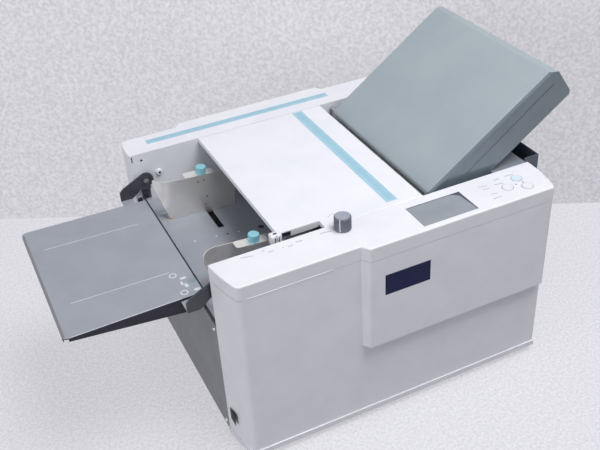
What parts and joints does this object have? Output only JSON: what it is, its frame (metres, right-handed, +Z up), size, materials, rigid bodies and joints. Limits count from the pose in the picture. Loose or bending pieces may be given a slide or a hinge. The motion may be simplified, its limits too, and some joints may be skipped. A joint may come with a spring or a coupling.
{
  "type": "paper folding machine",
  "caption": "Desktop paper folding machine with a folding feed tray, sliding paper guides, hinged top cover, tilted fold plate unit, fold rollers and a fold-up delivery tray.",
  "frame": {"origin": "under the middle of the machine's bounding box, on the plane of the feet", "axes": "+X the way the paper travels, from the feed tray to the fold plate unit, +Y from the operator's side to the rear, +Z up"},
  "size_m": [0.8646, 0.518, 0.5026],
  "materials": {
    "cover_plastic": "fine textured, light grey",
    "lid_plastic": "fine textured, near white",
    "frame_steel": "satin grey paint",
    "tray_steel": "satin mid grey paint",
    "dark_steel": "satin dark grey paint",
    "deck_grey": "satin brownish grey paint",
    "unit_plastic": "fine textured greenish grey",
    "unit_dark": "fine textured dark grey",
    "stainless": "brushed",
    "bright_steel": "turned",
    "roller_rubber": "matt",
    "foot_rubber": "matt",
    "cyan_plastic": "semi-gloss",
    "white_plastic": "semi-gloss",
    "knob_plastic": "matt grey",
    "button_plastic": "matt light grey",
    "screen": "clear window over a grey screen",
    "board": "solder-mask green",
    "black_plastic": "semi-gloss black",
    "belt_rubber": "matt",
    "zinc_steel": "zinc plated",
    "supply_case": "bare sheet"
  },
  "bodies": {
    "machine_frame": {"base_plate": "zinc_steel", "rubber_feet": "foot_rubber", "front_side_frame": "frame_steel", "rear_side_frame": "frame_steel", "tie_rods": "bright_steel", "left_end_panel": "frame_steel", "right_end_cover": "deck_grey", "panel_screws": "bright_steel", "wall_pins": "bright_steel", "tray_stop_brackets": "frame_steel", "front_cover": "cover_plastic", "control_panel_cap": "cover_plastic", "rear_cover": "cover_plastic", "display_screen": "screen", "control_board": "board", "knob_encoder": "black_plastic", "power_inlet": "black_plastic", "power_supply": "supply_case", "separator_pad": "roller_rubber", "feed_path_guides": "zinc_steel", "roller_bearings": "bright_steel", "lower_fold_plates": "zinc_steel", "drive_motor": "black_plastic", "drive_belt": "belt_rubber", "exit_belt": "belt_rubber", "exit_chute": "zinc_steel", "delivery_hinge_brackets": "frame_steel"},
    "feed_tray": {"feed_tray": "tray_steel", "tray_arms": "dark_steel"},
    "paper_table": {"paper_table": "tray_steel"},
    "rear_paper_guide": {"rear_paper_guide": "stainless"},
    "front_paper_guide": {"front_paper_guide": "stainless"},
    "rear_guide_knob": {"rear_guide_knob": "cyan_plastic"},
    "front_guide_knob": {"front_guide_knob": "cyan_plastic"},
    "top_cover": {"top_cover": "lid_plastic"},
    "release_lever": {"release_lever": "white_plastic"},
    "adjust_knob": {"adjust_knob": "knob_plastic"},
    "start_button": {"start_button": "button_plastic"},
    "reset_button": {"reset_button": "button_plastic"},
    "stop_button": {"stop_button": "button_plastic"},
    "power_rocker": {"power_rocker": "black_plastic"},
    "fold_unit": {"fold_unit_upper_shell": "unit_plastic", "fold_unit_lower_shell": "unit_dark", "upper_fold_plates": "zinc_steel", "stop_guide_rods": "bright_steel"},
    "upper_fold_stop": {"upper_fold_stop": "zinc_steel"},
    "lower_fold_stop": {"lower_fold_stop": "zinc_steel"},
    "feed_roller": {"feed_roller": "roller_rubber"},
    "fold_roller_1": {"fold_roller_1": "bright_steel", "roller_gear_1": "white_plastic"},
    "fold_roller_2": {"fold_roller_2": "bright_steel", "drive_gear": "white_plastic"},
    "fold_roller_3": {"fold_roller_3": "bright_steel", "roller_gear_3": "white_plastic"},
    "fold_roller_4": {"fold_roller_4": "bright_steel", "roller_gear_4": "white_plastic"},
    "exit_roller_upper": {"exit_roller_upper": "roller_rubber"},
    "exit_roller_lower": {"exit_roller_lower": "roller_rubber"},
    "motor_pulley": {"motor_pulley": "zinc_steel"},
    "delivery_tray": {"delivery_tray": "tray_steel"}
  },
  "joints": [
    {"name": "feed_tray_hinge", "type": "hinge", "parent": "machine_frame", "child": "feed_tray", "pos_m": [-0.20235, 0, 0.307], "axis": [0, 1, 0], "range_deg": [0, 90]},
    {"name": "table_lift", "type": "hinge", "parent": "machine_frame", "child": "paper_table", "pos_m": [-0.20235, 0, 0.25], "axis": [0, -1, 0], "range_deg": [0, 6]},
    {"name": "rear_guide_slide", "type": "slide", "parent": "paper_table", "child": "rear_paper_guide", "axis": [0, 1, 0], "range_m": [-0.041, 0.042]},
    {"name": "front_guide_slide", "type": "slide", "parent": "paper_table", "child": "front_paper_guide", "axis": [0, -1, 0], "range_m": [-0.041, 0.042]},
    {"name": "rear_guide_knob_turn", "type": "hinge", "parent": "rear_paper_guide", "child": "rear_guide_knob", "pos_m": [-0.11775, 0.1182, 0.32729], "axis": [0.0698, 0, 0.9976], "range_deg": [0, 180]},
    {"name": "front_guide_knob_turn", "type": "hinge", "parent": "front_paper_guide", "child": "front_guide_knob", "pos_m": [-0.11775, -0.1142, 0.32729], "axis": [0.0698, 0, 0.9976], "range_deg": [0, 180]},
    {"name": "top_cover_hinge", "type": "hinge", "parent": "machine_frame", "child": "top_cover", "pos_m": [0.14265, 0, 0.349], "axis": [0, 1, 0], "range_deg": [0, 75]},
    {"name": "release_lever_pivot", "type": "hinge", "parent": "machine_frame", "child": "release_lever", "pos_m": [-0.06435, 0, 0.285], "axis": [0, 1, 0], "range_deg": [0, 45]},
    {"name": "adjust_knob_turn", "type": "hinge", "parent": "machine_frame", "child": "adjust_knob", "pos_m": [-0.00235, -0.192, 0.356], "axis": [0, 0, 1], "range_deg": [-135, 135]},
    {"name": "start_button_press", "type": "slide", "parent": "machine_frame", "child": "start_button", "axis": [0, 0, -1], "range_m": [0, 0.0015], "stiffness_N_per_m": 400},
    {"name": "reset_button_press", "type": "slide", "parent": "machine_frame", "child": "reset_button", "axis": [0, 0, -1], "range_m": [0, 0.0015], "stiffness_N_per_m": 400},
    {"name": "stop_button_press", "type": "slide", "parent": "machine_frame", "child": "stop_button", "axis": [0, 0, -1], "range_m": [0, 0.0015], "stiffness_N_per_m": 400},
    {"name": "power_rocker_tilt", "type": "hinge", "parent": "machine_frame", "child": "power_rocker", "pos_m": [0.31465, 0.2466, 0.054], "axis": [1, 0, 0], "range_deg": [-16, 0]},
    {"name": "fold_unit_hinge", "type": "hinge", "parent": "machine_frame", "child": "fold_unit", "pos_m": [0.1748, 0, 0.34403], "axis": [0, -1, 0], "range_deg": [0, 45]},
    {"name": "upper_fold_stop_slide", "type": "slide", "parent": "fold_unit", "child": "upper_fold_stop", "axis": [0.8192, 0, 0.5736], "range_m": [-0.16, 0.045]},
    {"name": "lower_fold_stop_slide", "type": "slide", "parent": "machine_frame", "child": "lower_fold_stop", "axis": [-0.3156, 0, -0.9489], "range_m": [-0.095, 0.055]},
    {"name": "feed_roller_spin", "type": "hinge", "parent": "machine_frame", "child": "feed_roller", "pos_m": [0.04566, 0, 0.291], "axis": [0, 1, 0], "continuous": true},
    {"name": "fold_roller_2_spin", "type": "hinge", "parent": "machine_frame", "child": "fold_roller_2", "pos_m": [0.17366, 0, 0.29685], "axis": [0, 1, 0], "continuous": true},
    {"name": "fold_roller_1_spin", "type": "hinge", "parent": "machine_frame", "child": "fold_roller_1", "pos_m": [0.1553, 0, 0.32306], "axis": [0, 1, 0], "continuous": true},
    {"name": "fold_roller_3_spin", "type": "hinge", "parent": "machine_frame", "child": "fold_roller_3", "pos_m": [0.20402, 0, 0.28675], "axis": [0, 1, 0], "continuous": true},
    {"name": "fold_roller_4_spin", "type": "hinge", "parent": "machine_frame", "child": "fold_roller_4", "pos_m": [0.19901, 0, 0.25514], "axis": [0, 1, 0], "continuous": true},
    {"name": "exit_roller_lower_spin", "type": "hinge", "parent": "machine_frame", "child": "exit_roller_lower", "pos_m": [0.30957, 0, 0.18974], "axis": [0, 1, 0], "continuous": true},
    {"name": "exit_roller_upper_spin", "type": "hinge", "parent": "machine_frame", "child": "exit_roller_upper", "pos_m": [0.32551, 0, 0.19894], "axis": [0, 1, 0], "continuous": true},
    {"name": "motor_pulley_spin", "type": "hinge", "parent": "machine_frame", "child": "motor_pulley", "pos_m": [0.23565, 0, 0.062], "axis": [0, 1, 0], "continuous": true},
    {"name": "delivery_tray_hinge", "type": "hinge", "parent": "machine_frame", "child": "delivery_tray", "pos_m": [0.3684, 0, 0.092], "axis": [0, 1, 0], "range_deg": [0, 90]}
  ],
  "couplings": [
    {"joint": "fold_roller_1_spin", "follows": "fold_roller_2_spin", "ratio": -1},
    {"joint": "fold_roller_3_spin", "follows": "fold_roller_2_spin", "ratio": -1},
    {"joint": "fold_roller_4_spin", "follows": "fold_roller_2_spin", "ratio": 1},
    {"joint": "exit_roller_lower_spin", "follows": "fold_roller_2_spin", "ratio": 1.7556},
    {"joint": "exit_roller_upper_spin", "follows": "fold_roller_2_spin", "ratio": -1.7556},
    {"joint": "motor_pulley_spin", "follows": "fold_roller_2_spin", "ratio": 2}
  ]
}
